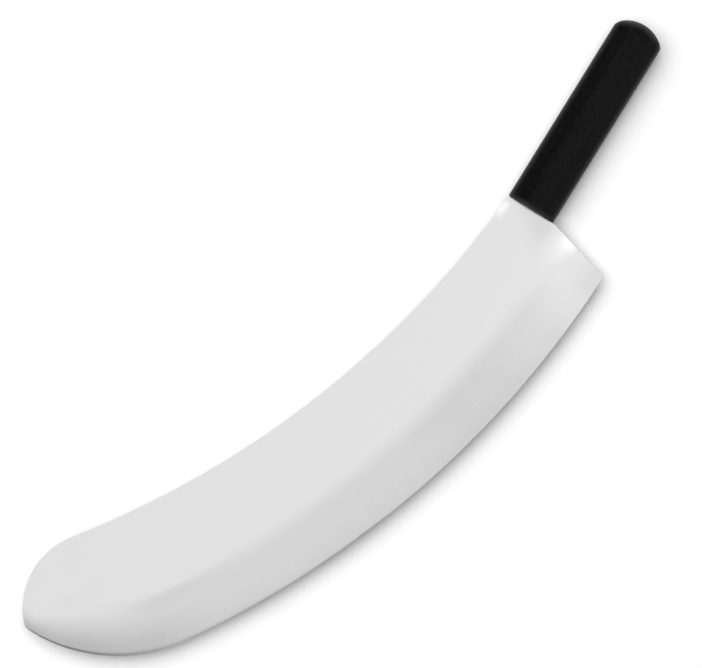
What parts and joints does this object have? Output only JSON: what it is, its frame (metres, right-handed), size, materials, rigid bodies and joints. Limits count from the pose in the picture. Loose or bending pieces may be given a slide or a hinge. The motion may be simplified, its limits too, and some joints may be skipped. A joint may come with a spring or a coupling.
{
  "type": "mincing knife",
  "caption": "Broad curved rocking knife for mincing, with a wide ground steel blade and an in-line moulded handle locked on its hidden tang.",
  "frame": {"origin": "middle of the handle's lower broad flat, the face that lies on a table", "axes": "+X along the handle from the blade to the butt, +Y from the cutting edge to the spine, +Z square to the blade's flats"},
  "size_m": [0.5418, 0.2138, 0.024],
  "materials": {
    "blade_steel": "satin stainless steel, ground along the cutting edge",
    "handle_plastic": "black moulded plastic, fine matt grain"
  },
  "bodies": {
    "root": {"blade": "blade_steel", "handle": "handle_plastic"}
  },
  "joints": []
}
